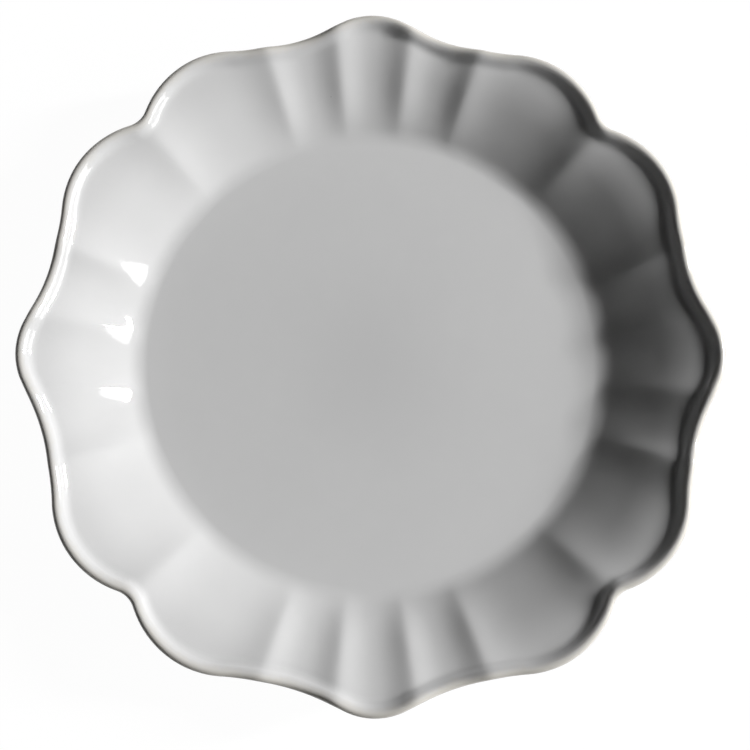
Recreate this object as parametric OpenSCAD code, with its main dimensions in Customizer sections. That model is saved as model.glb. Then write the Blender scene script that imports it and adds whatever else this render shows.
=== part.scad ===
// Scalloped dessert plate in glazed stoneware.
// Millimetres, +Z up. The origin is the middle of the plane that the foot stands on.
// The outline repeats every quarter turn: one narrow point, then a pair of wide lobes.
// Each quarter is its own mirror image, so one eighth of the turn describes the plate.

/* [Outline] */
// Radius from the middle to the tip of each of the four narrow points
point_r = 110; // [106:0.5:114]
// Radius from the middle to the crown of each of the eight wide lobes
lobe_r = 110.5; // [107:0.5:114]
// Angle from a narrow point to the crown of the wide lobe beside it
lobe_angle = 33; // [31:0.5:35]
// Radius of the rounded end of a narrow point
point_nose_r = 20.5; // [16:0.5:26]
// Radius of the rounded end of a wide lobe
lobe_nose_r = 30.5; // [26:0.5:35]
// Radius of the shallow hollow between a narrow point and a wide lobe
hollow_r = 97; // [60:1:140]
// Radius of the small notch between two wide lobes
notch_r = 7.8; // [5:0.2:12]

/* [Face] */
// Radius of the flat well
well_r = 72; // [70:0.5:74]
// Width of the cove that turns the well up into the rim
cove_w = 6; // [5:0.5:10]
// Lean of the face at the top of the cove, in degrees
cove_angle = 35.5; // [24:0.5:40]
// Width of the bank, where the rim eases from the cove to the flare
bank_w = 23.5; // [18:0.5:26]
// Power of the bank's easing, as a higher one keeps it steep for longer
bank_power = 1.5; // [1:0.1:2.4]
// Lean of the face at the top of the bank, in degrees
flare_angle = 19; // [12:1:26]
// Width of the band along the edge that turns up into a lip
lip_w = 5.5; // [5:0.1:7.5]
// Distance from the edge in to where the lip has its full lean
full_lip_w = 3.5; // [3.4:0.1:4.2]
// Lean of the lip, in degrees
lip_angle = 50.5; // [35:0.5:52]
// Distance from the edge in to where the lip starts to level off
crown_w = 3.3; // [2.4:0.1:3.3]
// Distance from the edge in to where it is level
level_w = 1.3; // [0.8:0.1:1.8]

/* [Flutes] */
// Angle from the middle of a narrow point to the ridge on each side of it
point_ridge_angle = 6.5; // [5.5:0.25:7.5]
// Angle from the middle of a narrow point to the ridge beyond its side flute
lobe_ridge_angle = 19.4; // [18:0.2:21]
// Depth of the narrow flutes below their ridges
flute_depth = 1.45; // [0.5:0.05:2.6]
// Depth of the wide flutes below their ridges
lobe_depth = 1.35; // [0.5:0.05:2.6]
// Softness of the ridges between the narrow flutes, as a share of their height
flute_softness = 0.27; // [0.1:0.01:0.6]
// The same for the ridges of the wide flutes
lobe_softness = 0.16; // [0.1:0.01:0.6]
// How flat the bottom of a narrow flute is, from 1 for a round one
flute_fullness = 1.15; // [1:0.05:2.5]
// The same for a wide flute
lobe_fullness = 1.9; // [1:0.05:2.5]
// How far a wide flute leans towards its narrow point, from 1 for an even one
lobe_skew = 0.96; // [0.8:0.02:1.2]
// Distance from the well out to where the flutes start
flute_start_w = 1.5; // [1:0.5:5]
// Distance over which they deepen
flute_fade_w = 18; // [14:0.5:24]
// Power of that deepening, as a lower one gives more depth near the well
flute_ease = 0.7; // [0.5:0.05:1]

/* [Walls] */
// Thickness of the floor of the well, with its glaze on both sides
floor_t = 5; // [4:0.25:7]
// Thickness of the rounded edge of the rim, with its glaze
edge_t = 3; // [2.2:0.2:4.4]
// Thickness of the glaze
glaze_t = 0.4; // [0.3:0.05:0.6]

/* [Foot] */
// Height of the foot ring below the clay of the plate
foot_h = 5; // [4.6:0.2:8]
// Distance from the edge of the well in to the middle line of the foot ring
foot_inset = 9; // [8.5:0.5:14]
// Width of the foot ring where it joins the plate
foot_root_w = 8; // [7:0.5:9]
// Width of the foot ring at its base, with the corners
foot_base_w = 5; // [4:0.5:6.5]
// Width and height of each bevelled corner of the foot ring
foot_bevel = 0.8; // [0.4:0.1:1.2]
// Width of the bare clay left between the foot ring and the glaze
bare_w = 1.5; // [0.5:0.25:2]

/* [Hidden] */

clay_colour = "#d8c6ac";
glaze_colour = "#efeeea";

// A quarter turn and half of it, the span that one eighth of the plate fills
quarter_angle = 90;
eighth_angle = quarter_angle / 2;

// Steps round the plate: half a point, a side flute and a wide flute
point_steps = 2;
side_steps = 4;
lobe_steps = 7;
// Steps over the upper half of the rounded edge, and as many over the lower half
edge_steps = 2;
// Smoothness of the turned parts
turned_fn = 96;
// Half the distance over which the lean of the face is measured
probe = 0.05;
// Power for a slope that changes evenly over a stretch
even_change = 1;

// Places of the rings of points, as shares of the cove, the bank and the lip
cove_shares = [0, 1/3, 2/3, 1];
bank_shares = [1/4, 1/2, 3/4, 1];
lip_shares = [1/4, 1/2, 3/4, 1];
// The same for the underside, read inwards from the edge
under_lip_shares = [1/3];
under_bank_shares = [1, 1/2];
under_cove_shares = [1, 1/2, 0];

cove_r = well_r + cove_w;
well_z = foot_h - glaze_t + floor_t;
edge_nose_r = edge_t / 2;
foot_r = well_r - foot_inset;
foot_root_in = foot_r - foot_root_w / 2;
foot_root_out = foot_r + foot_root_w / 2;
foot_base_in = foot_r - foot_base_w / 2;
foot_base_out = foot_r + foot_base_w / 2;
coat_end_r = foot_root_out + bare_w;
recess_glaze_r = foot_root_in - bare_w;

cove_slope = tan(cove_angle);
flare_slope = tan(flare_angle);
lip_slope = tan(lip_angle);
// Bands of the lip: where it turns up, where it has risen to its lean, and where it levels off
lip_turn_w = lip_w - full_lip_w;
full_band_w = full_lip_w - level_w;
crown_band_w = crown_w - level_w;

function lerp(a, b, share) = a + (b - a) * share;
function hold(share) = max(0, min(1, share));
function polar(r, angle) = [r * cos(angle), r * sin(angle)];
function smooth_share(x) = x * x * (3 - 2 * x);
function reversed(list) = [for (i = [len(list) - 1 : -1 : 0]) list[i]];

// Outline of one eighth: four arcs, each tangent to the next
point_c = polar(point_r - point_nose_r, 0);
lobe_c = polar(lobe_r - lobe_nose_r, lobe_angle);
nose_gap = norm(lobe_c - point_c);
along_noses = (lobe_c - point_c) / nose_gap;
to_point = point_nose_r + hollow_r;
to_lobe = lobe_nose_r + hollow_r;
hollow_along = (nose_gap * nose_gap + to_point * to_point - to_lobe * to_lobe) / (2 * nose_gap);
hollow_out = sqrt(to_point * to_point - hollow_along * hollow_along);
hollow_c = point_c + along_noses * hollow_along + [along_noses[1], -along_noses[0]] * hollow_out;
diagonal = polar(1, eighth_angle);
lobe_on_diagonal = lobe_c * diagonal;
lobe_off_diagonal = norm(lobe_c - diagonal * lobe_on_diagonal);
notch_reach = lobe_nose_r + notch_r;
notch_along = sqrt(notch_reach * notch_reach - lobe_off_diagonal * lobe_off_diagonal);
notch_c = diagonal * (lobe_on_diagonal + notch_along);
point_end = lerp(point_c, hollow_c, point_nose_r / to_point);
hollow_end = lerp(lobe_c, hollow_c, lobe_nose_r / to_lobe);
lobe_end = lerp(lobe_c, notch_c, lobe_nose_r / notch_reach);
point_end_angle = atan2(point_end[1], point_end[0]);
hollow_end_angle = atan2(hollow_end[1], hollow_end[0]);
lobe_end_angle = atan2(lobe_end[1], lobe_end[0]);

// Where a ray from the middle meets an arc: side is 1 for its far side and -1 for its near side
function ray_to_arc(angle, centre, arc_r, side) =
    let (
        off = angle - atan2(centre[1], centre[0]),
        across = norm(centre) * sin(off)
    )
    norm(centre) * cos(off) + side * sqrt(max(0, arc_r * arc_r - across * across));

// Angle from the nearest narrow point, from 0 up to an eighth of a turn
function fold(angle) = abs((angle + eighth_angle) % quarter_angle - eighth_angle);

// Centre, radius and side of the arc of the edge that lies in a folded direction
function arc_at(f) =
    f < point_end_angle ? [point_c, point_nose_r, 1]
    : f < hollow_end_angle ? [hollow_c, hollow_r, -1]
    : f < lobe_end_angle ? [lobe_c, lobe_nose_r, 1]
    : [notch_c, notch_r, -1];

// Distance from the middle to the outermost edge
function edge_r(angle) =
    let (
        f = fold(angle),
        arc = arc_at(f)
    )
    ray_to_arc(f, arc[0], arc[1], arc[2]);

// How squarely a ray from the middle meets the edge, as the cosine of the angle with its normal
function edge_square(angle) =
    let (
        f = fold(angle),
        arc = arc_at(f),
        normal = (polar(edge_r(angle), f) - arc[0]) / arc[1]
    )
    arc[2] * normal * polar(1, f);

// Rise over a stretch whose slope goes from slope_a to slope_b, with the given power of the distance
function stretch_rise(r, from_r, width, slope_a, slope_b, power) =
    let (share = hold((r - from_r) / width))
    width * (slope_a * share + (slope_b - slope_a) * pow(share, power + 1) / (power + 1));

// Height of the turned face above the well, before flutes and lip
function turned_rise(r) =
    stretch_rise(r, well_r, cove_w, 0, cove_slope, even_change)
    + stretch_rise(r, cove_r, bank_w, cove_slope, flare_slope, bank_power)
    + max(0, r - cove_r - bank_w) * flare_slope;

// Share of a flute's depth at a share of the way across it: nothing on the ridges, all in the middle
function softened(share, softness) = sqrt(share * share + softness * softness) - softness;
function flute_share(across, softness, fullness) =
    let (bend = softened(sin(180 * across), softness) / softened(1, softness))
    1 - pow(hold(1 - bend), fullness);

// Depth of the flute at a place, nothing on the ridges
function flute_dip(r, angle) =
    let (
        f = fold(angle),
        across = f < point_ridge_angle ? (f + point_ridge_angle) / (2 * point_ridge_angle)
            : f < lobe_ridge_angle ? (f - point_ridge_angle) / (lobe_ridge_angle - point_ridge_angle)
            : pow((f - lobe_ridge_angle) / (eighth_angle - lobe_ridge_angle), lobe_skew),
        depth = f < lobe_ridge_angle ? flute_depth * flute_share(across, flute_softness, flute_fullness)
            : lobe_depth * flute_share(across, lobe_softness, lobe_fullness),
        deepening = smooth_share(hold((r - well_r - flute_start_w) / flute_fade_w))
    )
    depth * pow(deepening, flute_ease);

// Height that the lip adds: it turns up to its full lean, holds it, then levels off at the crown
function lip_lift(r, angle) =
    let (
        gap = (edge_r(angle) - r) * edge_square(angle),
        turn = hold((lip_w - gap) / lip_turn_w),
        full = hold((full_lip_w - gap) / full_band_w),
        crown = hold((crown_w - gap) / crown_band_w)
    )
    (lip_slope - flare_slope) * (lip_turn_w * turn * turn / 2 + full_band_w * full)
    - lip_slope * crown_band_w * crown * crown / 2;

function face_z(r, angle) = well_z + turned_rise(r) - flute_dip(r, angle) + lip_lift(r, angle);
function face_lean(r, angle) =
    atan((face_z(r + probe, angle) - face_z(r - probe, angle)) / (2 * probe));

// The face ends where the rounded edge takes over at the same lean
function edge_lean(angle) = face_lean(edge_r(angle) - edge_t, angle);
function face_end_r(angle) = edge_r(angle) - edge_nose_r * (1 + sin(edge_lean(angle)));

// Thickness of the plate, from the floor of the well to the edge
function wall_t(r, angle) =
    lerp(floor_t, edge_t, hold((r - well_r) / (face_end_r(angle) - well_r)));

// A point of the section, as distance from the axis and height, sunk below the face at r
function below_face(r, angle, depth) =
    let (lean = r <= well_r ? 0 : face_lean(r, angle))
    [r + depth * sin(lean), face_z(r, angle) - depth * cos(lean)];

function cove_places(shares) = [for (s = shares) lerp(well_r, cove_r, s)];
function bank_places(shares, angle) = [for (s = shares) lerp(cove_r, edge_r(angle) - lip_w, s)];
function lip_places(shares, angle) = [for (s = shares) lerp(edge_r(angle) - lip_w, face_end_r(angle), s)];

// Section at one angle, from the rim of the well over the edge to the foot, a given depth under the skin
function section(angle, depth) =
    let (
        lean = edge_lean(angle),
        end_r = face_end_r(angle),
        nose_c = [edge_r(angle) - edge_nose_r, face_z(end_r, angle) - edge_nose_r * cos(lean)],
        face_rs = concat(cove_places(cove_shares), bank_places(bank_shares, angle),
            lip_places(lip_shares, angle)),
        under_rs = concat(lip_places(under_lip_shares, angle), bank_places(under_bank_shares, angle),
            cove_places(under_cove_shares))
    )
    concat(
        [for (r = face_rs) below_face(r, angle, depth)],
        [for (i = [1 : edge_steps])
            nose_c + polar(edge_nose_r - depth, lerp(quarter_angle + lean, 0, i / edge_steps))],
        [for (i = [1 : edge_steps])
            nose_c + polar(edge_nose_r - depth, lerp(0, lean - quarter_angle, i / edge_steps))],
        [for (r = under_rs) below_face(r, angle, wall_t(r, angle) - depth)],
        [[coat_end_r, foot_h - glaze_t + depth]]
    );

// Angles of the sections, with one on every ridge, tip and notch
eighth_angles = concat(
    [for (i = [0 : point_steps - 1]) point_ridge_angle * i / point_steps],
    [for (i = [0 : side_steps - 1]) lerp(point_ridge_angle, lobe_ridge_angle, i / side_steps)],
    [for (i = [0 : lobe_steps - 1]) lerp(lobe_ridge_angle, eighth_angle, i / lobe_steps)]
);
quarter_angles = concat(eighth_angles, [eighth_angle],
    [for (i = [len(eighth_angles) - 1 : -1 : 1]) quarter_angle - eighth_angles[i]]);
turn_angles = [for (q = [0 : 3]) for (a = quarter_angles) q * quarter_angle + a];
turn_n = len(turn_angles);

// Rings of points right round the plate, one for each place along the section
function rings(depth) =
    let (sections = [for (a = turn_angles) section(a, depth)])
    [for (k = [0 : len(sections[0]) - 1])
        [for (j = [0 : turn_n - 1])
            let (p = sections[j][k])
            [p[0] * cos(turn_angles[j]), p[0] * sin(turn_angles[j]), p[1]]]];

// Closes a stack of rings into a solid, from one middle point to another.
// The rings from back_k on run back along the ones before, and their bands are split the other way,
// so that a coat's inner side has the very triangles of the body that it covers.
module ringed_solid(ring_list, first_z, last_z, back_k) {
    ring_n = len(ring_list);
    last_i = ring_n * turn_n + 1;
    last_start = last_i - turn_n;
    points = concat([[0, 0, first_z]], [for (ring = ring_list) each ring], [[0, 0, last_z]]);
    first_fan = [for (j = [0 : turn_n - 1]) [0, 1 + (j + 1) % turn_n, 1 + j]];
    bands = [for (k = [0 : ring_n - 2]) for (j = [0 : turn_n - 1])
        let (
            a = 1 + k * turn_n + j,
            b = 1 + k * turn_n + (j + 1) % turn_n,
            c = b + turn_n,
            d = a + turn_n
        )
        each k < back_k ? [[a, b, c], [a, c, d]] : [[a, b, d], [b, c, d]]];
    last_fan = [for (j = [0 : turn_n - 1]) [last_start + j, last_start + (j + 1) % turn_n, last_i]];
    polyhedron(points = points, faces = concat(first_fan, bands, last_fan), convexity = 6);
}

// Fired clay: the flat well, the cove, the fluted rim and the rounded edge
module stoneware_body() {
    clay_rings = rings(glaze_t);
    color(clay_colour) ringed_solid(clay_rings, well_z - glaze_t, foot_h, len(clay_rings));
}

// Bare clay ring that the plate stands on, luted under the cove
module foot_ring() {
    color(clay_colour) rotate_extrude($fn = turned_fn)
        polygon([
            [foot_root_in, foot_h],
            [foot_base_in, foot_bevel],
            [foot_base_in + foot_bevel, 0],
            [foot_base_out - foot_bevel, 0],
            [foot_base_out, foot_bevel],
            [foot_root_out, foot_h]
        ]);
}

// Glaze over the face, round the edge and down the underside to the bare band by the foot
module glaze_coat() {
    skin_rings = rings(0);
    coat_rings = concat(skin_rings, reversed(rings(glaze_t)));
    color(glaze_colour) ringed_solid(coat_rings, well_z, well_z - glaze_t, len(skin_rings));
}

// Disc of glaze inside the foot ring
module recess_glaze() {
    color(glaze_colour) translate([0, 0, foot_h - glaze_t])
        cylinder(r = recess_glaze_r, h = glaze_t, $fn = turned_fn);
}

stoneware_body();
foot_ring();
glaze_coat();
recess_glaze();
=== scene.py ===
"""Scalloped dessert plate in white glazed stoneware, dressed around its CAD frame.

The plate is built as a potter makes it: a fired clay body, a foot ring luted under it, a coat of
white glaze over the face, the edge and the underside, and a disc of glaze in the recess.
Lengths are metres and angles are radians, unless a name says degrees. +X and +Y point at two of
the four narrow points, and +Z goes up through the middle of the well.
"""

import cmath
import logging
import math
from dataclasses import dataclass, field, fields
from enum import Enum
from typing import Any, Callable, Union

import bpy
from mathutils import Matrix, Vector, noise


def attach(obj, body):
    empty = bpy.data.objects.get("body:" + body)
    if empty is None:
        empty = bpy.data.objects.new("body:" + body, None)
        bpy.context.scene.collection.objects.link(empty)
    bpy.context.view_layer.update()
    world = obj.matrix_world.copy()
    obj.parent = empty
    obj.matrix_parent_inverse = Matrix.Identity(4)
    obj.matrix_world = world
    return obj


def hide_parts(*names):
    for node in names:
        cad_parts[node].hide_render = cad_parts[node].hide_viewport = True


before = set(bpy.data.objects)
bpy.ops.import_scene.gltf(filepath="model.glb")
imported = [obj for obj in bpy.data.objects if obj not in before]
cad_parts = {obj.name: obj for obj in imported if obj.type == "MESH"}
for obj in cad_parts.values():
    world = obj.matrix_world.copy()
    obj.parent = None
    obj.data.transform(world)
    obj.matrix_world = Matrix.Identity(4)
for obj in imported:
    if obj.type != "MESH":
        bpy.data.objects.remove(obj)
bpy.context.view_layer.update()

MM = 0.001
PLATE_BODY = "root"
EIGHTH_TURN = math.pi / 4
# Half the run over which the lean of the face is measured
PROBE = 0.05 * MM
# Times that the end of the face and its lean are worked out from each other
NOSE_ROUNDS = 3
# Shares of a step and of a stretch that keep their ends apart
HALF_STEP = 0.5
HAIR = 0.001
# The attribute that tells the glaze how far each point lies from the edge
EDGE_GAP = "edge_gap"
# Noise: the strays of a glaze's wiped edge, and the clouds of a finish
WAVER_SCALE = 2.5
WAVER_DETAIL = 3.0
WAVER_ROUGHNESS = 0.6
CLOUD_DETAIL = 3.0
CLOUD_ROUGHNESS = 0.5
# The smallest speck as a share of the largest, and the soft rim of each
SMALLEST_SPECK = 0.3
SPECK_RIM = 0.5

log = logging.getLogger("dessert_plate")


# Node trees


@dataclass(frozen=True)
class Term:
    """A number in a node tree. Sums made with it add Math nodes to that tree."""

    board: "NodeBoard"
    socket: bpy.types.NodeSocket

    def __add__(self, other: "Number") -> "Term":
        """This number plus another."""
        return self.board.math("ADD", self, other)

    def __sub__(self, other: "Number") -> "Term":
        """This number less another."""
        return self.board.math("SUBTRACT", self, other)

    def __rsub__(self, other: "Number") -> "Term":
        """Another number less this one."""
        return self.board.math("SUBTRACT", other, self)

    def __mul__(self, other: "Number") -> "Term":
        """This number times another."""
        return self.board.math("MULTIPLY", self, other)

    def __truediv__(self, other: "Number") -> "Term":
        """This number divided by another."""
        return self.board.math("DIVIDE", self, other)

    __radd__ = __add__
    __rmul__ = __mul__


Number = Union[Term, float]


class NodeBoard:
    """One node tree, with short ways to add nodes to it and to join them."""

    def __init__(self, tree: bpy.types.NodeTree) -> None:
        """Takes the tree that the nodes go into."""
        self.tree = tree

    @classmethod
    def group(cls, name: str, kind: str) -> "NodeBoard":
        """Starts a new node group.

        Args:
            name: The group's name.
            kind: The tree type, "GeometryNodeTree" or "ShaderNodeTree".

        Returns:
            The board of the new group.
        """
        return cls(bpy.data.node_groups.new(name, kind))

    @classmethod
    def cleared(cls, holder: bpy.types.Material | bpy.types.World) -> "NodeBoard":
        """Starts over with the nodes of a material or a world.

        Args:
            holder: What the nodes belong to.

        Returns:
            The board of the emptied tree.
        """
        holder.use_nodes = True
        holder.node_tree.nodes.clear()
        return cls(holder.node_tree)

    def take(self, name: str, kind: str = "NodeSocketFloat") -> None:
        """Gives the group a named input."""
        self.tree.interface.new_socket(name=name, in_out="INPUT", socket_type=kind)

    def give(self, name: str, kind: str = "NodeSocketFloat") -> None:
        """Gives the group a named output."""
        self.tree.interface.new_socket(name=name, in_out="OUTPUT", socket_type=kind)

    def node(self, kind: str, values: dict | None = None, **settings: Any) -> bpy.types.Node:
        """Adds a node.

        Args:
            kind: Blender's identifier of the node.
            values: What goes into its inputs, by name or number: a constant, a socket or a Term.
            **settings: Properties of the node, set before its inputs.

        Returns:
            The new node.
        """
        made = self.tree.nodes.new(kind)
        for name, value in settings.items():
            setattr(made, name, value)
        for name, value in (values or {}).items():
            self.feed(made.inputs[name], value)
        return made

    def feed(self, socket: bpy.types.NodeSocket, value: Any) -> None:
        """Links an input, or sets it to a constant.

        Args:
            socket: The input.
            value: What goes into it: a constant, a socket or a Term.
        """
        source = value.socket if isinstance(value, Term) else value
        if isinstance(source, bpy.types.NodeSocket):
            self.tree.links.new(source, socket)
        else:
            socket.default_value = source

    def term(self, source: bpy.types.NodeSocket | Term) -> Term:
        """A socket's number as a Term."""
        return source if isinstance(source, Term) else Term(self, source)

    def math(self, operation: str, *numbers: Number, clamp: bool = False) -> Term:
        """Adds a Math node.

        Args:
            operation: Blender's identifier of the operation.
            *numbers: What it works on.
            clamp: Whether the result is held between 0 and 1.

        Returns:
            The result.
        """
        made = self.node(
            "ShaderNodeMath", dict(enumerate(numbers)), operation=operation, use_clamp=clamp
        )
        return Term(self, made.outputs[0])

    def share(self, number: Number) -> Term:
        """A number held between 0 and 1."""
        return self.math("ADD", number, 0.0, clamp=True)

    def smooth(self, share: Term) -> Term:
        """A share from 0 to 1, eased at both ends."""
        return share * share * (3.0 - share * 2.0)

    def blend(self, share: Number, low: Number, high: Number) -> Term:
        """The number that lies a share of the way from low to high."""
        return self.math("MULTIPLY_ADD", share, self.math("SUBTRACT", high, low), low)

    def below(self, number: Number, limit: Number) -> Term:
        """1 where a number is below a limit, and 0 elsewhere."""
        return self.math("LESS_THAN", number, limit)

    def parts(self, vector: bpy.types.NodeSocket) -> list[Term]:
        """The X, Y and Z of a vector."""
        return [self.term(part) for part in self.node("ShaderNodeSeparateXYZ", {0: vector}).outputs]


def label(name: str) -> str:
    """A field's name as the name of a socket."""
    return name.replace("_", " ").capitalize()


def labels(part: type) -> list[str]:
    """The fields of a dataclass as names of sockets."""
    return [label(f.name) for f in fields(part)]


def sizes_of(*parts: Any) -> dict[str, float]:
    """The fields of some dataclasses as values by socket name."""
    return {label(f.name): getattr(part, f.name) for part in parts for f in fields(part)}


def added(name: str, data: bpy.types.ID) -> bpy.types.Object:
    """Adds an object to the scene.

    Args:
        name: The object's name.
        data: Its mesh, lamp or camera.

    Returns:
        The object, at the origin.
    """
    made = bpy.data.objects.new(name, data)
    bpy.context.scene.collection.objects.link(made)
    return made


def grown(name: str, tree: bpy.types.NodeTree, values: dict[str, float]) -> bpy.types.Object:
    """Grows a piece from a Geometry Nodes tree.

    Args:
        name: The new piece's name.
        tree: The tree that makes its mesh.
        values: The tree's inputs, by socket name.

    Returns:
        An object at the origin that holds the finished, plain mesh.
    """
    seed = added(name + "_seed", bpy.data.meshes.new(name + "_seed"))
    modifier = seed.modifiers.new("shape", "NODES")
    modifier.node_group = tree
    for item in tree.interface.items_tree:
        if item.in_out == "INPUT" and item.name in values:
            modifier[item.identifier] = float(values[item.name])
    depsgraph = bpy.context.evaluated_depsgraph_get()
    mesh = bpy.data.meshes.new_from_object(seed.evaluated_get(depsgraph))
    mesh.name = name
    bpy.data.objects.remove(seed)
    return added(name, mesh)


# The plate's form, with the same named sizes as the CAD source


@dataclass(frozen=True)
class Arc:
    """One arc of the scalloped edge, met by a ray from the middle of the plate."""

    centre: complex
    radius: float
    side: float
    end_angle: float

    def sizes(self, name: str) -> dict[str, float]:
        """The arc as inputs of the shell's tree.

        Args:
            name: The arc's name.

        Returns:
            The values by socket name.
        """
        return {
            f"{name} centre distance": abs(self.centre),
            f"{name} centre angle": cmath.phase(self.centre),
            f"{name} radius": self.radius,
            f"{name} side": self.side,
            f"{name} end angle": self.end_angle,
        }


@dataclass(frozen=True)
class Outline:
    """The edge seen from above: four arcs for each eighth of a turn, each tangent to the next."""

    point_reach: float = 110 * MM
    lobe_reach: float = 110.5 * MM
    lobe_angle: float = math.radians(33)
    point_nose: float = 20.5 * MM
    lobe_nose: float = 30.5 * MM
    hollow: float = 97 * MM
    notch: float = 7.8 * MM

    def arcs(self) -> dict[str, Arc]:
        """Works out where the arcs lie and where each hands over to the next.

        Returns:
            The arcs by name, from the narrow point round to the notch.
        """
        point_c = complex(self.point_reach - self.point_nose)
        lobe_c = cmath.rect(self.lobe_reach - self.lobe_nose, self.lobe_angle)
        gap = abs(lobe_c - point_c)
        along = (lobe_c - point_c) / gap
        to_point, to_lobe = self.point_nose + self.hollow, self.lobe_nose + self.hollow
        hollow_along = (gap**2 + to_point**2 - to_lobe**2) / (2 * gap)
        hollow_out = math.sqrt(to_point**2 - hollow_along**2)
        hollow_c = point_c + along * complex(hollow_along, -hollow_out)
        diagonal = cmath.rect(1, EIGHTH_TURN)
        on_diagonal = lobe_c / diagonal
        notch_reach = self.lobe_nose + self.notch
        notch_c = diagonal * (
            on_diagonal.real + math.sqrt(notch_reach**2 - on_diagonal.imag**2)
        )
        point_end = point_c + (hollow_c - point_c) * self.point_nose / to_point
        hollow_end = lobe_c + (hollow_c - lobe_c) * self.lobe_nose / to_lobe
        lobe_end = lobe_c + (notch_c - lobe_c) * self.lobe_nose / notch_reach
        return {
            "Point": Arc(point_c, self.point_nose, 1, cmath.phase(point_end)),
            "Hollow": Arc(hollow_c, self.hollow, -1, cmath.phase(hollow_end)),
            "Lobe": Arc(lobe_c, self.lobe_nose, 1, cmath.phase(lobe_end)),
            "Notch": Arc(notch_c, self.notch, -1, math.pi),
        }


@dataclass(frozen=True)
class Section:
    """The face from the well to the edge: slopes over stretches, the lip and the flutes' fade."""

    well_reach: float = 72 * MM
    well_height: float = 9.6 * MM
    cove_width: float = 6 * MM
    cove_lean: float = math.radians(35.5)
    bank_width: float = 23.5 * MM
    bank_power: float = 1.5
    flare_lean: float = math.radians(19)
    lip_width: float = 5.5 * MM
    full_lip_width: float = 3.5 * MM
    lip_lean: float = math.radians(49.3)
    crown_width: float = 3.3 * MM
    level_width: float = 1.3 * MM
    flute_start: float = 1.5 * MM
    flute_fade: float = 18 * MM
    flute_ease: float = 0.7


@dataclass(frozen=True)
class Flutes:
    """The scooped flutes round the rim and the soft ridges between them."""

    point_ridge_angle: float = math.radians(6.5)
    lobe_ridge_angle: float = math.radians(19.4)
    flute_depth: float = 1.45 * MM
    lobe_depth: float = 1.35 * MM
    flute_softness: float = 0.27
    lobe_softness: float = 0.16
    flute_fullness: float = 1.15
    lobe_fullness: float = 1.9
    lobe_skew: float = 0.96


@dataclass(frozen=True)
class Walls:
    """Thickness of the clay and its glaze, and where the glaze ends beside the foot."""

    floor_thickness: float = 5 * MM
    edge_thickness: float = 3 * MM
    glaze_thickness: float = 0.4 * MM
    glaze_end: float = 68.5 * MM
    glaze_waver: float = 0.5 * MM
    well_core: float = 8 * MM


class Stretch(Enum):
    """A stretch of the plate's section, in the order in which the outer skin passes over it."""

    WELL = 0
    FACE = 1
    NOSE = 2
    UNDERSIDE = 3
    SHELF = 4
    ROLL = 5


@dataclass(frozen=True)
class Pass:
    """Steps along the section: their number, and the stretches they go on, or back below zero."""

    steps: int
    stretches: int


@dataclass(frozen=True)
class RingPlan:
    """How many rings of points each stretch gets, and how many points a ring has."""

    outer: tuple[Pass, ...]
    inner: tuple[Pass, ...] = ()
    round_steps: int = 720

    def outer_steps(self) -> int:
        """The number of steps over the outer side."""
        return sum(p.steps for p in self.outer)

    def all_steps(self) -> int:
        """The number of steps from one middle point to the other."""
        return self.outer_steps() + sum(p.steps for p in self.inner)


# Out over the well and the face, round the edge and back below, and for the glaze back inside
GLAZE_RINGS = RingPlan(
    outer=(Pass(8, 1), Pass(44, 1), Pass(12, 1), Pass(18, 1), Pass(2, 1), Pass(5, 1)),
    inner=(Pass(1, -2), Pass(10, -1), Pass(6, -1), Pass(24, -1), Pass(2, -1)),
)
CLAY_RINGS = RingPlan(outer=(Pass(4, 1), Pass(40, 1), Pass(8, 1), Pass(14, 1), Pass(1, 1)))


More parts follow.
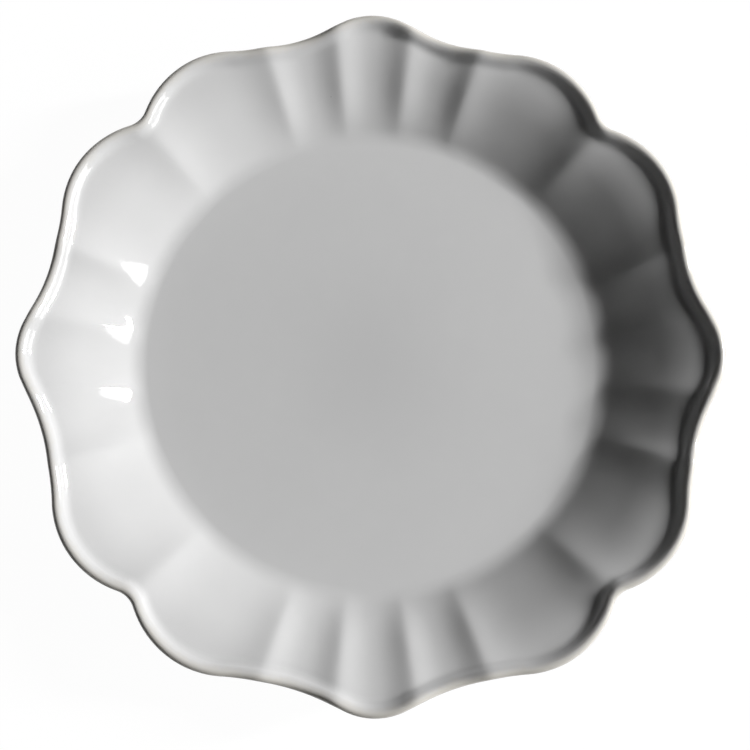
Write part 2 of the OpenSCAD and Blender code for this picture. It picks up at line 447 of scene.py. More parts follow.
class FaceHeight:
    """The node group that gives the height of the face at a distance from the middle."""

    VARIABLES = ("Distance", "Edge distance", "Edge square", "Scoop")

    def __init__(self) -> None:
        """Builds the group."""
        self.board = NodeBoard.group("Face height", "GeometryNodeTree")
        self.names = [*self.VARIABLES, *labels(Section)]
        for name in self.names:
            self.board.take(name)
        self.board.give("Height")
        self._fill()

    def _fill(self) -> None:
        """Adds the sums: the turned section, less the flutes, plus the lip."""
        board = self.board
        inputs = board.node("NodeGroupInput").outputs
        size = {name: board.term(inputs[name]) for name in self.names}
        r = size["Distance"]
        well, cove_w, bank_w = size["Well reach"], size["Cove width"], size["Bank width"]
        steep, flare, lip = (
            board.math("TANGENT", size[f"{name} lean"]) for name in ("Cove", "Flare", "Lip")
        )
        bank_start = well + cove_w
        flare_start = bank_start + bank_w
        cove = board.share((r - well) / cove_w)
        bank = board.share((r - bank_start) / bank_w)
        power = size["Bank power"] + 1.0
        eased = board.math("POWER", bank, power)
        rise = (
            cove_w * steep * cove * cove * 0.5
            + bank_w * (steep * bank + (flare - steep) * eased / power)
            + board.math("MAXIMUM", r - flare_start, 0.0) * flare
        )
        deepening = board.smooth(board.share((r - well - size["Flute start"]) / size["Flute fade"]))
        deepening = board.math("POWER", deepening, size["Flute ease"])
        face = size["Well height"] + rise - size["Scoop"] * deepening
        board.node("NodeGroupOutput", {"Height": face + self._lift(size, flare, lip)})

    def _lift(self, size: dict[str, Term], flare: Term, lip: Term) -> Term:
        """What the lip adds: it turns up, holds its full lean, then levels off at the crown.

        Args:
            size: The group's inputs.
            flare: Slope of the face before the lip.
            lip: Full slope of the lip.

        Returns:
            The height above the face without its lip.
        """
        board = self.board
        gap = (size["Edge distance"] - size["Distance"]) * size["Edge square"]
        full_lip, crown_end = size["Full lip width"], size["Level width"]
        turn_band = size["Lip width"] - full_lip
        full_band = full_lip - crown_end
        crown_band = size["Crown width"] - crown_end
        turn = board.share((size["Lip width"] - gap) / turn_band)
        full = board.share((full_lip - gap) / full_band)
        crown = board.share((size["Crown width"] - gap) / crown_band)
        climbed = (lip - flare) * (turn_band * turn * turn * 0.5 + full_band * full)
        return climbed - lip * crown_band * crown * crown * 0.5


@dataclass
class PlateShell:
    """The plate's skin as one closed shell: the glaze coat with two sides, or the clay with one."""

    name: str
    rings: RingPlan
    depth: float
    outline: Outline = field(default_factory=Outline)
    section: Section = field(default_factory=Section)
    flutes: Flutes = field(default_factory=Flutes)
    walls: Walls = field(default_factory=Walls)

    def sizes(self) -> dict[str, float]:
        """Works out the tree's inputs.

        Returns:
            The values by socket name.
        """
        values = sizes_of(self.section, self.flutes, self.walls)
        for name, arc in self.outline.arcs().items():
            values.update(arc.sizes(name))
        values["Skin depth"] = self.depth
        return values

    def grow(self, face_height: FaceHeight, material: bpy.types.Material) -> bpy.types.Object:
        """Makes the piece.

        Args:
            face_height: The node group for the height of the face.
            material: The finish of the whole shell.

        Returns:
            The piece, in place.
        """
        values = self.sizes()
        board = NodeBoard.group(self.name + " shell", "GeometryNodeTree")
        for name in values:
            board.take(name)
        board.give("Geometry", "NodeSocketGeometry")
        inputs = board.node("NodeGroupInput").outputs
        size = {name: board.term(inputs[name]) for name in values}
        ShellSums(board, size, self.rings, face_height, material).fill()
        return grown(self.name, board.tree, values)


@dataclass(frozen=True)
class Ray:
    """What the plate has in one direction: its edge, how squarely that is met, and its flute."""

    edge: Term
    square: Term
    scoop: Term


@dataclass(frozen=True)
class Spot:
    """A place on the section: the stretches before it, its ray, the face's end and its depth."""

    passed: Term
    along: dict[Stretch, Term]
    ray: Ray
    face_end: Term
    end_lean: Term
    depth: Term


class ShellSums:
    """Fills the tree of a shell: where every point of a cylinder of rings goes on the plate."""

    def __init__(
        self,
        board: NodeBoard,
        size: dict[str, Term],
        rings: RingPlan,
        face_height: FaceHeight,
        material: bpy.types.Material,
    ) -> None:
        """Takes what the tree is made with.

        Args:
            board: The shell's tree.
            size: The tree's inputs.
            rings: How many rings each stretch gets.
            face_height: The node group for the height of the face.
            material: The finish of the whole shell.
        """
        self.board = board
        self.size = size
        self.rings = rings
        self.face_height = face_height
        self.material = material

    def fill(self) -> None:
        """Adds every node from the cylinder of rings to the output."""
        board, size, steps = self.board, self.size, self.rings.all_steps()
        cylinder = board.node(
            "GeometryNodeMeshCylinder",
            {
                "Vertices": self.rings.round_steps,
                "Side Segments": steps,
                "Radius": 1.0,
                "Depth": float(steps),
            },
            fill_type="TRIANGLE_FAN",
        )
        place = board.node("GeometryNodeInputPosition").outputs[0]
        x, y, z = board.parts(place)
        angle = board.math("ARCTAN2", y, x)
        axis_distance = board.math("SQRT", x * x + y * y)
        off_axis = board.math("ROUND", axis_distance)
        ring = board.math("ROUND", steps / 2 - z)
        fold = board.math("ABSOLUTE", board.math("WRAP", angle, EIGHTH_TURN, -EIGHTH_TURN))
        ray = Ray(*self._edge(fold), self._scoop(fold))
        r, height = self._section(ring, angle, ray)
        r = r * off_axis
        turned = board.node(
            "ShaderNodeCombineXYZ",
            {
                "X": r * board.math("COSINE", angle),
                "Y": r * board.math("SINE", angle),
                "Z": height,
            },
        )
        shaped = board.node(
            "GeometryNodeSetPosition",
            {"Geometry": cylinder.outputs["Mesh"], "Position": turned.outputs[0]},
        )
        # The attribute is stored on the moved points, so the axis distance is their final one
        gap = (ray.edge - axis_distance) * ray.square
        marked = self._store_gap(shaped.outputs[0], gap)
        smooth = board.node("GeometryNodeSetShadeSmooth", {"Geometry": marked})
        real = board.node("GeometryNodeRealizeInstances", {"Geometry": smooth.outputs[0]})
        dressed = board.node(
            "GeometryNodeSetMaterial", {"Geometry": real.outputs[0], "Material": self.material}
        )
        board.node("NodeGroupOutput", {"Geometry": dressed.outputs[0]})

    def _store_gap(self, geometry: bpy.types.NodeSocket, gap: Term) -> bpy.types.NodeSocket:
        """Keeps the gap to the edge at every point, for the material.

        Args:
            geometry: The shell.
            gap: Distance from the edge, square to it.

        Returns:
            The shell with its attribute.
        """
        kept = self.board.node(
            "GeometryNodeStoreNamedAttribute",
            {"Geometry": geometry, "Name": EDGE_GAP, "Value": gap},
            data_type="FLOAT",
            domain="POINT",
        )
        return kept.outputs[0]

    def _edge(self, fold: Term) -> tuple[Term, Term]:
        """Where a ray from the middle meets its arc of the edge, and how squarely.

        Args:
            fold: Angle from the nearest narrow point.

        Returns:
            The distance from the middle, and the cosine of the angle that the ray makes with the
            edge's normal.
        """
        board, size = self.board, self.size
        found: Number = 0.0
        square: Number = 1.0
        for name in ("Notch", "Lobe", "Hollow", "Point"):
            off = fold - size[f"{name} centre angle"]
            centre, radius = size[f"{name} centre distance"], size[f"{name} radius"]
            across = centre * board.math("SINE", off)
            reach_squared = radius * radius - across * across
            reach = board.math("SQRT", board.math("MAXIMUM", reach_squared, 0.0))
            ray = centre * board.math("COSINE", off) + size[f"{name} side"] * reach
            within = board.below(fold, size[f"{name} end angle"])
            found = board.blend(within, found, ray)
            square = board.blend(within, square, reach / radius)
        return found, square

    def _scoop(self, fold: Term) -> Term:
        """How deep a flute is scooped out.

        Args:
            fold: Angle from the nearest narrow point.

        Returns:
            The flute's full depth below its ridges.
        """
        board, size = self.board, self.size
        near, far = size["Point ridge angle"], size["Lobe ridge angle"]
        in_lobe = 1.0 - board.below(fold, far)
        point_flute = (fold + near) / (near * 2.0)
        side_flute = (fold - near) / (far - near)
        past_ridge = board.share((fold - far) / (EIGHTH_TURN - far))
        lobe_flute = board.math("POWER", past_ridge, size["Lobe skew"])
        across = board.blend(board.below(fold, near), side_flute, point_flute)
        across = board.blend(in_lobe, across, lobe_flute)
        depth = board.blend(in_lobe, size["Flute depth"], size["Lobe depth"])
        soft = board.blend(in_lobe, size["Flute softness"], size["Lobe softness"])
        fullness = board.blend(in_lobe, size["Flute fullness"], size["Lobe fullness"])
        arch = board.math("SINE", across * math.pi)
        bend = board.math("SQRT", arch * arch + soft * soft) - soft
        full = board.math("SQRT", soft * soft + 1.0) - soft
        return depth * (1.0 - board.math("POWER", board.share(1.0 - bend / full), fullness))

    def _height(self, r: Term, ray: Ray) -> Term:
        """Reads the node group for the height of the face.

        Args:
            r: Distance from the middle.
            ray: What the plate has in that direction.

        Returns:
            The height.
        """
        made = self.board.node("GeometryNodeGroup", node_tree=self.face_height.board.tree)
        for name, value in zip(FaceHeight.VARIABLES, (r, ray.edge, ray.square, ray.scoop)):
            self.board.feed(made.inputs[name], value)
        for name in labels(Section):
            self.board.feed(made.inputs[name], self.size[name])
        return self.board.term(made.outputs[0])

    def _lean(self, r: Term, ray: Ray) -> Term:
        """Lean of the face, as an angle."""
        step = self._height(r + PROBE, ray) - self._height(r - PROBE, ray)
        return self.board.math("ARCTANGENT", step * (0.5 / PROBE))

    def _section(self, ring: Term, angle: Term, ray: Ray) -> tuple[Term, Term]:
        """The place of each ring's points along the section.

        Args:
            ring: Number of the ring, from the middle of the well.
            angle: Angle round the plate.
            ray: What the plate has in that direction.

        Returns:
            The distance from the axis and the height.
        """
        board = self.board
        spot = self._spot(ring, ray)
        skin_r, skin_z = self._skin(spot)
        round_r, round_z = self._nose(spot)
        past_face = 1.0 - board.below(spot.passed, float(Stretch.NOSE.value))
        on_nose = past_face * board.below(spot.passed, Stretch.UNDERSIDE.value + HAIR)
        r = board.blend(on_nose, skin_r, round_r)
        height = board.blend(on_nose, skin_z, round_z)
        shelf_r, lift = self._shelf(spot, angle)
        on_shelf = 1.0 - board.below(spot.passed, Stretch.SHELF.value + HAIR)
        return board.blend(on_shelf, r, shelf_r), height + lift * on_shelf

    def _spot(self, ring: Term, ray: Ray) -> Spot:
        """Finds a ring's place along the section.

        Args:
            ring: Number of the ring, from the middle of the well.
            ray: What the plate has in its direction.

        Returns:
            The place.
        """
        board = self.board
        passed, start = board.share(0.0), 0
        for p in (*self.rings.outer, *self.rings.inner):
            done = board.share((ring - float(start)) / float(p.steps))
            passed = passed + done * float(p.stretches)
            start += p.steps
        along = {s: board.share(passed - float(s.value)) for s in Stretch}
        depth = self.size["Skin depth"]
        if self.rings.inner:
            depth = depth * (1.0 - board.below(ring, self.rings.outer_steps() + HALF_STEP))
        return Spot(passed, along, ray, *self._face_end(ray), depth)

    def _face_end(self, ray: Ray) -> tuple[Term, Term]:
        """Finds where the face hands over to the rounded edge.

        Args:
            ray: What the plate has in that direction.

        Returns:
            The distance from the axis and the lean of the face there.
        """
        thickness = self.size["Edge thickness"]
        lean = self._lean(ray.edge - thickness, ray)
        for _ in range(NOSE_ROUNDS):
            face_end = ray.edge - thickness * 0.5 * (self.board.math("SINE", lean) + 1.0)
            lean = self._lean(face_end, ray)
        return face_end, lean

    def _skin(self, spot: Spot) -> tuple[Term, Term]:
        """Places a ring on the face or the underside.

        Args:
            spot: Where the ring lies on the section.

        Returns:
            The distance from the axis and the height.
        """
        board, size, along, ray = self.board, self.size, spot.along, spot.ray
        well_r = size["Well reach"]
        on_well = board.blend(along[Stretch.WELL], size["Well core"], well_r)
        outwards = board.blend(along[Stretch.FACE], on_well, spot.face_end)
        base = board.blend(along[Stretch.UNDERSIDE], outwards, well_r)
        wall = board.blend(
            board.share((base - well_r) / (spot.face_end - well_r)),
            size["Floor thickness"],
            size["Edge thickness"],
        )
        below_face = 1.0 - board.below(spot.passed, Stretch.UNDERSIDE.value - HAIR)
        sunk = board.blend(below_face, spot.depth, wall - spot.depth)
        lean = self._lean(base, ray)
        r = base + sunk * board.math("SINE", lean)
        return r, self._height(base, ray) - sunk * board.math("COSINE", lean)

    def _nose(self, spot: Spot) -> tuple[Term, Term]:
        """Places a ring on the rounded edge, which starts square to the face's end.

        Args:
            spot: Where the ring lies on the section.

        Returns:
            The distance from the axis and the height.
        """
        board, ray, lean = self.board, spot.ray, spot.end_lean
        nose_r = self.size["Edge thickness"] * 0.5
        nose_z = self._height(spot.face_end, ray) - nose_r * board.math("COSINE", lean)
        turn = math.pi / 2 + lean - spot.along[Stretch.NOSE] * math.pi
        reach = nose_r - spot.depth
        r = ray.edge - nose_r + reach * board.math("COSINE", turn)
        return r, nose_z + reach * board.math("SINE", turn)

    def _shelf(self, spot: Spot, angle: Term) -> tuple[Term, Term]:
        """Places a ring on the flat band beside the foot, where the glaze rolls to its end.

        Args:
            spot: Where the ring lies on the section.
            angle: Angle round the plate.

        Returns:
            The distance from the axis, and the height above the underside.
        """
        board, size, along = self.board, self.size, spot.along
        glaze_t = size["Glaze thickness"]
        quarter = along[Stretch.ROLL] * (math.pi / 2)
        toe = size["Glaze end"] + self._waver(angle)
        shelf = board.blend(along[Stretch.SHELF], size["Well reach"], toe + glaze_t)
        rolled = shelf - glaze_t * board.math("SINE", quarter) * along[Stretch.SHELF]
        return rolled, glaze_t * (1.0 - board.math("COSINE", quarter))

    def _waver(self, angle: Term) -> Term:
        """Lets the wiped end of the glaze stray outwards.

        Args:
            angle: Angle round the plate.

        Returns:
            How far it strays.
        """
        board = self.board
        ring = board.node(
            "ShaderNodeCombineXYZ",
            {"X": board.math("COSINE", angle), "Y": board.math("SINE", angle), "Z": 0.0},
        )
        drawn = board.node(
            "ShaderNodeTexNoise",
            {
                "Vector": ring.outputs[0],
                "Scale": WAVER_SCALE,
                "Detail": WAVER_DETAIL,
                "Roughness": WAVER_ROUGHNESS,
            },
        )
        return board.term(drawn.outputs[0]) * self.size["Glaze waver"]


# Turned pieces


Profile = list[tuple[float, float]]


def rounded(corners: list[tuple[float, float, float]], arc_steps: int, side_step: float) -> Profile:
    """Rounds the corners of a closed profile and splits its sides.

    Args:
        corners: Distance from the axis, height and rounding radius of each corner.
        arc_steps: Steps over each rounded corner.
        side_step: Longest step along a side.

    Returns:
        The closed profile's points.
    """
    bends = []
    count = len(corners)
    for i, (x, z, radius) in enumerate(corners):
        here = complex(x, z)
        if not radius:
            bends.append([here])
            continue
        before = complex(*corners[i - 1][:2]) - here
        after = complex(*corners[(i + 1) % count][:2]) - here
        before, after = before / abs(before), after / abs(after)
        half = abs(cmath.phase(after / before)) / 2
        run = radius / math.tan(half)
        centre = here + (before + after) / abs(before + after) * (radius / math.sin(half))
        first, last = here + before * run, here + after * run
        start = cmath.phase(first - centre)
        sweep = cmath.phase((last - centre) / (first - centre))
        turns = [start + sweep * k / arc_steps for k in range(arc_steps + 1)]
        bends.append([centre + cmath.rect(radius, turn) for turn in turns])
    points = []
    for i, bend in enumerate(bends):
        points.extend(bend)
        gap = bends[(i + 1) % count][0] - bend[-1]
        parts = max(1, math.ceil(abs(gap) / side_step))
        points.extend(bend[-1] + gap * k / parts for k in range(1, parts))
    return [(p.real, p.imag) for p in points]


def turned(
    name: str, profile: Profile, round_steps: int, stray: Callable[[float, float, float], float]
) -> bpy.types.Object:
    """Turns a closed profile round the axis.

    Args:
        name: The new piece's name.
        profile: Distance from the axis and height of each point. It runs anticlockwise, seen with
            the axis on the left, and may touch the axis at its first and last point.
        round_steps: Steps round the axis.
        stray: How far a point lies off its distance from the axis, from that distance, its height
            and the angle.

    Returns:
        The piece, in place.
    """
    on_axis = profile[0][0] == 0.0
    rows = profile[1:-1] if on_axis else profile
    points = []
    for r, z in rows:
        for j in range(round_steps):
            angle = 2 * math.pi * j / round_steps
            reach = r + stray(r, z, angle)
            points.append((reach * math.cos(angle), reach * math.sin(angle), z))
    faces = []
    last_row = len(rows) - (1 if on_axis else 0)
    for k in range(last_row):
        a0, b0 = k * round_steps, (k + 1) % len(rows) * round_steps
        for j in range(round_steps):
            j1 = (j + 1) % round_steps
            faces.append((a0 + j, a0 + j1, b0 + j1, b0 + j))
    if on_axis:
        first, end = len(points), len(points) + 1
        points += [(0.0, 0.0, profile[0][1]), (0.0, 0.0, profile[-1][1])]
        top = (len(rows) - 1) * round_steps
        for j in range(round_steps):
            j1 = (j + 1) % round_steps
            faces.append((first, j1, j))
            faces.append((end, top + j, top + j1))
    mesh = bpy.data.meshes.new(name)
    mesh.from_pydata(points, [], faces)
    mesh.shade_smooth()
    return added(name, mesh)


@dataclass
class FootRing:
    """The bare clay ring that the plate stands on, with soft corners and turning marks."""

    root_inner: float = 59 * MM
    root_outer: float = 67 * MM
    base_inner: float = 60.5 * MM
    base_outer: float = 65.5 * MM
    height: float = 5 * MM
    corner: float = 1.1 * MM
    mark_depth: float = 0.05 * MM
    mark_pitch: float = 0.9 * MM
    mark_fade: float = 1 * MM
    corner_steps: int = 8
    side_step: float = 0.25 * MM
    round_steps: int = 360

    def make(self, material: bpy.types.Material) -> bpy.types.Object:
        """Turns the ring.

        Args:
            material: The finish of the clay.

        Returns:
            The piece, in place.
        """
        profile = rounded(
            [
                (self.root_inner, self.height, 0.0),
                (self.base_inner, 0.0, self.corner),
                (self.base_outer, 0.0, self.corner),
                (self.root_outer, self.height, 0.0),
            ],
            arc_steps=self.corner_steps,
            side_step=self.side_step,
        )
        piece = turned("turned_foot_ring", profile, self.round_steps, self._mark)
        piece.data.materials.append(material)
        return piece

    def _mark(self, r: float, z: float, angle: float) -> float:
        """Cuts the turning marks, which run round the sides of the ring.

        Args:
            r: Distance from the axis.
            z: Height.
            angle: Angle round the ring.

        Returns:
            How far the point lies outwards, or inwards below zero.
        """
        fade_in, fade_out = z / self.corner - 1, (self.height - z) / self.mark_fade
        fade = min(1.0, max(0.0, fade_in), max(0.0, fade_out))
        wave = 0.5 - 0.5 * math.cos(2 * math.pi * z / self.mark_pitch + angle)
        middle = (self.root_inner + self.root_outer) / 2
        return math.copysign(self.mark_depth * wave * fade, middle - r)


@dataclass
class RecessGlaze:
    """The disc of glaze inside the foot ring, with a rounded edge that wavers a little."""

    reach: float = 57.5 * MM
    base_height: float = 4.6 * MM
    thickness: float = 0.4 * MM
    waver: float = 0.5 * MM
    waver_place: float = 5.0
    waver_power: int = 4
    round_steps: int = 360
    disc_steps: int = 24
    edge_steps: int = 6

    def make(self, material: bpy.types.Material) -> bpy.types.Object:
        """Turns the disc.

        Args:
            material: The finish of the glaze.

        Returns:
            The piece, in place.
        """
        flat_reach = self.reach - self.thickness
        top = self.base_height + self.thickness
        reaches = [flat_reach * k / self.disc_steps for k in range(self.disc_steps)]
        profile = [(reach, self.base_height) for reach in reaches]
        for k in range(self.edge_steps + 1):
            turn = math.pi / 2 * k / self.edge_steps
            profile.append(
                (
                    flat_reach + self.thickness * math.sin(turn),
                    top - self.thickness * math.cos(turn),
                )
            )
        profile += [(self.reach / 2, top), (0.0, top)]
        piece = turned("recess_glaze_disc", profile, self.round_steps, self._stray)
        piece.data.materials.append(material)
        return piece

    def _stray(self, r: float, z: float, angle: float) -> float:
        """Keeps the outline a little inside its full reach, more towards its edge.

        Args:
            r: Distance from the axis.
            z: Height, which is not used.
            angle: Angle round the disc.

        Returns:
            How far the point lies outwards, which is never above zero.
        """
        place = Vector((math.cos(angle), math.sin(angle), self.waver_place)) * WAVER_SCALE
        drawn = 0.5 + 0.5 * noise.noise(place)
        return -self.waver * drawn * (r / self.reach) ** self.waver_power


# Finishes


def new_material(name: str) -> tuple[bpy.types.Material, NodeBoard, bpy.types.Node]:
    """Starts a material with a Principled shader on its output.

    Args:
        name: The material's name.

    Returns:
        The material, its board and its shader node.
    """
    material = bpy.data.materials.new(name)
    board = NodeBoard.cleared(material)
    shader = board.node("ShaderNodeBsdfPrincipled")
    board.node("ShaderNodeOutputMaterial", {"Surface": shader.outputs[0]})
    return material, board, shader


@dataclass(frozen=True)
class Mottle:
    """A cloudy pattern: the sizes of its clouds and of its grain, and the grain's share."""

    cloud_size: float
    grain_size: float
    grain_share: float


@dataclass(frozen=True)
class Specks:
    """Scattered specks: their spacing, their largest radius and how many places have one."""

    spacing: float
    speck_radius: float
    share_with_speck: float


class SharedEffects:
    """Shader node groups that more than one finish uses."""

    def __init__(self) -> None:
        """Builds the groups."""
        self.mottle = self._mottle()
        self.specks = self._specks()

    def _mottle(self) -> bpy.types.NodeTree:
        """Builds a soft, cloudy pattern from two sizes of noise.

        Returns:
            The group, which puts out a number round 0.
        """
        board = NodeBoard.group("Mottle", "ShaderNodeTree")
        for name in labels(Mottle):
            board.take(name)
        board.give("Value")
        inputs = board.node("NodeGroupInput").outputs
        clouds = self._noise(board, inputs["Cloud size"])
        grain = self._noise(board, inputs["Grain size"])
        mixed = board.blend(board.term(inputs["Grain share"]), clouds, grain)
        board.node("NodeGroupOutput", {"Value": (mixed - 0.5) * 2.0})
        return board.tree

    def _noise(self, board: NodeBoard, size: bpy.types.NodeSocket) -> Term:
        """Adds soft noise.

        Args:
            board: The group's board.
            size: The size of its lumps.

        Returns:
            The noise, which lies round a half.
        """
        made = board.node(
            "ShaderNodeTexNoise",
            {
                "Vector": board.node("ShaderNodeTexCoord").outputs["Object"],
                "Scale": board.math("DIVIDE", 1.0, size),
                "Detail": CLOUD_DETAIL,
                "Roughness": CLOUD_ROUGHNESS,
            },
        )
        return board.term(made.outputs[0])

    def _specks(self) -> bpy.types.NodeTree:
        """Builds a mask of scattered round specks.

        Returns:
            The group, which puts out 1 in a speck and 0 elsewhere.
        """
        board = NodeBoard.group("Specks", "ShaderNodeTree")
        for name in labels(Specks):
            board.take(name)
        board.give("Mask")
        inputs = board.node("NodeGroupInput").outputs
        place = board.node("ShaderNodeTexCoord").outputs["Object"]
        spacing = board.term(inputs["Spacing"])
        cells = board.node(
            "ShaderNodeTexVoronoi",
            {"Vector": place, "Scale": board.math("DIVIDE", 1.0, spacing)},
            voronoi_dimensions="3D",
        )
        gap = board.term(cells.outputs["Distance"]) * spacing
        draw = board.node("ShaderNodeSeparateColor", {0: cells.outputs["Color"]})
        chosen = board.below(board.term(draw.outputs[0]), board.term(inputs["Share with speck"]))
        grade = board.term(draw.outputs[1]) * (1 - SMALLEST_SPECK) + SMALLEST_SPECK
        radius = board.term(inputs["Speck radius"]) * grade
        inside = board.share((radius - gap) / (radius * SPECK_RIM))
        board.node("NodeGroupOutput", {"Mask": inside * chosen})
        return board.tree


def tinted(board: NodeBoard, mask: Any, under: Any, over: Any) -> bpy.types.NodeSocket:
    """A colour over another where a mask is 1.

    Args:
        board: The material's board.
        mask: The share of the upper colour.
        under: The lower colour, a socket or three numbers.
        over: The upper colour, a socket or three numbers.

    Returns:
        The mixed colour.
    """
    made = board.node("ShaderNodeMix", data_type="RGBA")
    board.feed(made.inputs["Factor"], mask)
    for name, colour in (("A", under), ("B", over)):
        socket = next(s for s in made.inputs if s.name == name and s.type == "RGBA")
        board.feed(socket, (*colour, 1.0) if isinstance(colour, tuple) else colour)
    return next(s for s in made.outputs if s.type == "RGBA")


def grouped(board: NodeBoard, tree: bpy.types.NodeTree, sizes: Mottle | Specks) -> Term:
    """Places a shared effect with its sizes, and returns what it puts out."""
    made = board.node("ShaderNodeGroup", sizes_of(sizes), node_tree=tree)
    return board.term(made.outputs[0])


def bumped(
    board: NodeBoard, height: Term, distance: float, strength: float
) -> bpy.types.NodeSocket:
    """The normal of a surface with a fine relief.

    Args:
        board: The material's board.
        height: The relief, as a number that changes over the surface.
        distance: How far the surface rises for a height of 1.
        strength: How much of the relief shows.

    Returns:
        The normal's socket.
    """
    made = board.node(
        "ShaderNodeBump", {"Strength": strength, "Distance": distance, "Height": height}
    )
    return made.outputs[0]


@dataclass(frozen=True)
class WhiteGlaze:
    """Thick glossy white glaze that thins to a warm tone where it breaks over the edge."""

    colour: tuple[float, float, float] = (0.90, 0.90, 0.898)
    cloud_colour: tuple[float, float, float] = (0.865, 0.865, 0.865)
    # Painted reflection: the middle of the well is painted darker, standing in for the dark camera
    # mirrored in the glaze
    pool_colour: tuple[float, float, float] = (0.835, 0.835, 0.835)
    break_colour: tuple[float, float, float] = (0.85, 0.80, 0.70)
    speck_colour: tuple[float, float, float] = (0.10, 0.085, 0.07)
    clouds: Mottle = Mottle(38 * MM, 6 * MM, 0.25)
    cloud_contrast: float = 0.9
    cloud_share: float = 0.25
    pool_reach: float = 42 * MM
    pool_stray: float = 0.15
    patches: Mottle = Mottle(9 * MM, 1.5 * MM, 0.4)
    break_width: float = 3.8 * MM
    break_stray: float = 0.8
    break_share: float = 0.7
    specks: Specks = Specks(16 * MM, 0.28 * MM, 0.5)
    swell: Mottle = Mottle(7 * MM, 1.6 * MM, 0.15)
    ripple: float = 0.012 * MM
    ripple_strength: float = 1.0
    roughness: float = 0.045
    patch_roughness: float = 0.01
    break_roughness: float = 0.1
    ior: float = 1.5

    def make(self, effects: SharedEffects) -> bpy.types.Material:
        """Builds the material.

        Args:
            effects: The shared node groups.

        Returns:
            The finished material.
        """
        material, board, shader = new_material("white_glaze")
        cloud = grouped(board, effects.mottle, self.clouds)
        clouded = board.share(cloud * self.cloud_contrast + self.cloud_share)
        colour = tinted(board, clouded, self.colour, self.cloud_colour)
        # Painted reflection: darkens the middle of the well, standing in for the camera mirrored in
        # the glaze
        painted_reflection = board.smooth(board.share(self._pool(board) + cloud * self.pool_stray))
        colour = tinted(board, painted_reflection, colour, self.pool_colour)
        patchy = grouped(board, effects.mottle, self.patches)
        thin = self._thin(board, patchy)
        colour = tinted(board, thin * self.break_share, colour, self.break_colour)
        specks = grouped(board, effects.specks, self.specks)
        colour = tinted(board, specks, colour, self.speck_colour)
        swell = grouped(board, effects.mottle, self.swell)
        roughness = self.roughness + patchy * self.patch_roughness + thin * self.break_roughness
        board.feed(shader.inputs["Base Color"], colour)
        board.feed(shader.inputs["Roughness"], board.share(roughness))
        board.feed(shader.inputs["IOR"], self.ior)
        normal = bumped(board, swell, self.ripple, self.ripple_strength)
        board.feed(shader.inputs["Normal"], normal)
        return material

    def _pool(self, board: NodeBoard) -> Term:
        """Finds where the dark reflection of the camera is painted, in the middle of the well.

        Args:
            board: The material's board.

        Returns:
            A number that falls from 1 in the middle to 0 at the painted reflection's reach, and on
            below zero.
        """
        x, y, _ = board.parts(board.node("ShaderNodeTexCoord").outputs["Object"])
        return 1.0 - board.math("SQRT", x * x + y * y) / self.pool_reach

    def _thin(self, board: NodeBoard, patchy: Term) -> Term:
        """Finds how thin the glaze is beside the edge, over a width that is a little patchy.

        Args:
            board: The material's board.
            patchy: A cloudy number round 0.

        Returns:
            A share that falls from 1 at the edge to 0.
        """
        gap = board.node("ShaderNodeAttribute", attribute_name=EDGE_GAP).outputs["Fac"]
        width = self.break_width * (1.0 + patchy * self.break_stray)
        return board.smooth(board.share(1.0 - board.term(gap) / width))


@dataclass(frozen=True)
class FiredClay:
    """Bare buff stoneware: fine, matt and a little sandy, with small iron specks."""

    colour: tuple[float, float, float] = (0.69, 0.56, 0.41)
    dark_colour: tuple[float, float, float] = (0.55, 0.42, 0.29)
    speck_colour: tuple[float, float, float] = (0.20, 0.12, 0.07)
    clouds: Mottle = Mottle(22 * MM, 1.2 * MM, 0.45)
    cloud_contrast: float = 0.8
    cloud_share: float = 0.3
    specks: Specks = Specks(2.6 * MM, 0.22 * MM, 0.35)
    sand: Mottle = Mottle(0.9 * MM, 0.3 * MM, 0.5)
    grain: float = 0.06 * MM
    grain_strength: float = 0.7
    roughness: float = 0.85
    sand_roughness: float = 0.06

    def make(self, effects: SharedEffects) -> bpy.types.Material:
        """Builds the material.

        Args:
            effects: The shared node groups.

        Returns:
            The finished material.
        """
        material, board, shader = new_material("fired_clay")
        cloud = grouped(board, effects.mottle, self.clouds)
        clouded = board.share(cloud * self.cloud_contrast + self.cloud_share)
        colour = tinted(board, clouded, self.colour, self.dark_colour)
        specks = grouped(board, effects.specks, self.specks)
        colour = tinted(board, specks, colour, self.speck_colour)
        sand = grouped(board, effects.mottle, self.sand)
        roughness = self.roughness + sand * self.sand_roughness
        board.feed(shader.inputs["Base Color"], colour)
        board.feed(shader.inputs["Roughness"], board.share(roughness))
        normal = bumped(board, sand, self.grain, self.grain_strength)
        board.feed(shader.inputs["Normal"], normal)
        return material


# Studio


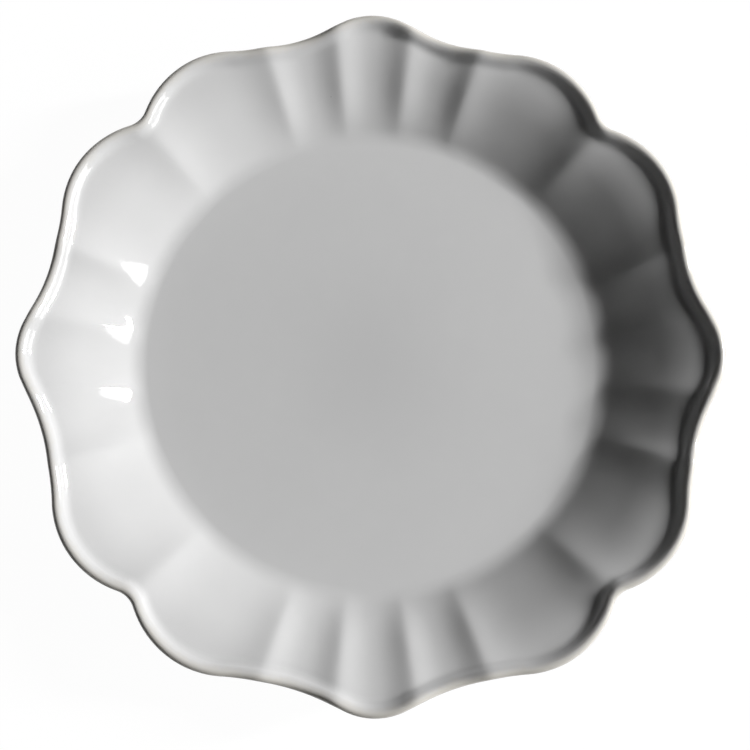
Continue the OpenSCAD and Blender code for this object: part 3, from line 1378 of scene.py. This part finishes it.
@dataclass(frozen=True)
class Floor:
    """The plain pale studio floor."""

    reach: float = 6.0
    round_steps: int = 64
    colour: tuple[float, float, float] = (0.8, 0.8, 0.8)
    shown_level: float = 0.975
    shadow_share: float = 0.05

    def make(self) -> None:
        """Builds the floor and its white finish."""
        mesh = bpy.data.meshes.new("studio_floor")
        turns = [2 * math.pi * j / self.round_steps for j in range(self.round_steps)]
        rim = [cmath.rect(self.reach, turn) for turn in turns]
        mesh.from_pydata([(p.real, p.imag, 0.0) for p in rim], [], [tuple(range(self.round_steps))])
        mesh.materials.append(self._material())
        added("studio_floor", mesh)

    def _material(self) -> bpy.types.Material:
        """Builds a finish that is white to the eye and in reflections, and pale to other light.

        Returns:
            The finish, which also shows a faint shadow.
        """
        material = bpy.data.materials.new("studio_floor")
        board = NodeBoard.cleared(material)
        rays = board.node("ShaderNodeLightPath").outputs
        seen = board.math(
            "MAXIMUM",
            rays["Is Camera Ray"],
            board.math("MAXIMUM", rays["Is Glossy Ray"], rays["Is Transmission Ray"]),
        )
        plain = board.node("ShaderNodeBsdfDiffuse", {"Color": (*self.colour, 1.0)})
        shaded = board.node(
            "ShaderNodeBsdfDiffuse", {"Color": (*[self.shadow_share] * 3, 1.0)}
        )
        white = board.node(
            "ShaderNodeEmission", {"Color": (1.0, 1.0, 1.0, 1.0), "Strength": self.shown_level}
        )
        shown = board.node("ShaderNodeAddShader", {0: shaded.outputs[0], 1: white.outputs[0]})
        mixed = board.node(
            "ShaderNodeMixShader", {0: seen, 1: plain.outputs[0], 2: shown.outputs[0]}
        )
        board.node("ShaderNodeOutputMaterial", {"Surface": mixed.outputs[0]})
        return material


@dataclass(frozen=True)
class SoftBox:
    """A flat lamp that faces the plate. Its level is what a white that faces it is lit to."""

    name: str
    azimuth_degrees: float
    elevation_degrees: float
    width: float
    height: float
    facing_level: float
    distance: float = 3.0

    def make(self) -> None:
        """Places the lamp."""
        data = bpy.data.lights.new(self.name, "AREA")
        data.shape = "RECTANGLE"
        data.size, data.size_y = self.width, self.height
        data.energy = self.facing_level * (math.pi * self.distance) ** 2
        azimuth, elevation = map(math.radians, (self.azimuth_degrees, self.elevation_degrees))
        towards = Vector(
            (
                math.cos(elevation) * math.cos(azimuth),
                math.cos(elevation) * math.sin(azimuth),
                math.sin(elevation),
            )
        )
        lamp = added(self.name, data)
        lamp.location = towards * self.distance
        lamp.rotation_mode = "QUATERNION"
        lamp.rotation_quaternion = towards.to_track_quat("Z", "Y")


@dataclass(frozen=True)
class Studio:
    """The light: a wide window low on the right, brightest at one end, in a dim room."""

    bright_end: SoftBox = SoftBox("bright_end", 10.15, 28.3, 0.18, 0.7, 0.9)
    wide_end: SoftBox = SoftBox("wide_end", -6.9, 27.9, 1.63, 0.9, 0.285)
    room_level: float = 0.004
    horizon_top: float = 0.25
    horizon_fade: float = 0.15

    def make(self) -> None:
        """Places the lamps and sets the room's light."""
        self.bright_end.make()
        self.wide_end.make()
        self._room()

    def _room(self) -> None:
        """Sets the world: white to the eye, a white horizon in reflections, and weak light."""
        world = bpy.context.scene.world or bpy.data.worlds.new("room")
        bpy.context.scene.world = world
        board = NodeBoard.cleared(world)
        rays = board.node("ShaderNodeLightPath").outputs
        direction = board.node("ShaderNodeTexCoord").outputs["Generated"]
        _, _, height = board.parts(direction)
        fade = (self.horizon_top - height) / self.horizon_fade
        reflected = board.math("MAXIMUM", rays["Is Glossy Ray"], rays["Is Transmission Ray"])
        horizon = board.smooth(board.share(fade)) * board.term(reflected)
        seen = board.math("MAXIMUM", rays["Is Camera Ray"], horizon)
        strength = board.blend(seen, self.room_level, 1.0)
        glow = board.node(
            "ShaderNodeBackground", {"Color": (1.0, 1.0, 1.0, 1.0), "Strength": strength}
        )
        board.node("ShaderNodeOutputWorld", {"Surface": glow.outputs[0]})


@dataclass(frozen=True)
class Viewpoint:
    """The camera, almost straight above the plate, as in the photograph."""

    place: tuple[float, float, float] = (-14.7 * MM, -61.22 * MM, 402.54 * MM)
    aim: tuple[float, float, float] = (0.06 * MM, -7.23 * MM, 28.31 * MM)
    roll: float = -0.0027
    lens: float = 59.19
    near: float = 10 * MM
    far: float = 20.0

    def make(self) -> None:
        """Places the camera and makes it the scene's own."""
        place, aim = Vector(self.place), Vector(self.aim)
        forward = (aim - place).normalized()
        right = forward.cross(Vector((0.0, 1.0, 0.0))).normalized()
        up = right.cross(forward)
        cos, sin = math.cos(self.roll), math.sin(self.roll)
        right, up = right * cos + up * sin, up * cos - right * sin
        data = bpy.data.cameras.new("camera")
        data.lens = self.lens
        data.clip_start, data.clip_end = self.near, self.far
        camera = added("camera", data)
        facing = Matrix((right, up, -forward)).transposed().to_4x4()
        camera.matrix_world = Matrix.Translation(place) @ facing
        bpy.context.scene.camera = camera


def place_on_plate(piece: bpy.types.Object, node: str) -> None:
    """Lets a piece ride on the plate in the place of a CAD node, and reports it.

    Args:
        piece: The finished piece.
        node: The CAD node that it stands for.
    """
    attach(piece, PLATE_BODY)
    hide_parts(node)
    log.info("%s stands for %s, %d faces", piece.name, node, len(piece.data.polygons))


def main() -> None:
    """Builds the plate, the studio and the camera."""
    logging.basicConfig(level=logging.INFO, format="%(message)s")
    bpy.context.scene.view_settings.view_transform = "Standard"
    Viewpoint().make()
    Studio().make()
    Floor().make()

    effects = SharedEffects()
    glaze, clay = WhiteGlaze().make(effects), FiredClay().make(effects)
    face_height = FaceHeight()
    walls = Walls()
    coat = PlateShell("glaze_skin", GLAZE_RINGS, walls.glaze_thickness)
    place_on_plate(coat.grow(face_height, glaze), "glaze_coat")
    body = PlateShell("clay_plate", CLAY_RINGS, walls.glaze_thickness)
    place_on_plate(body.grow(face_height, clay), "stoneware_body")
    place_on_plate(FootRing().make(clay), "foot_ring")
    place_on_plate(RecessGlaze().make(glaze), "recess_glaze")


if __name__ == "__main__":
    main()
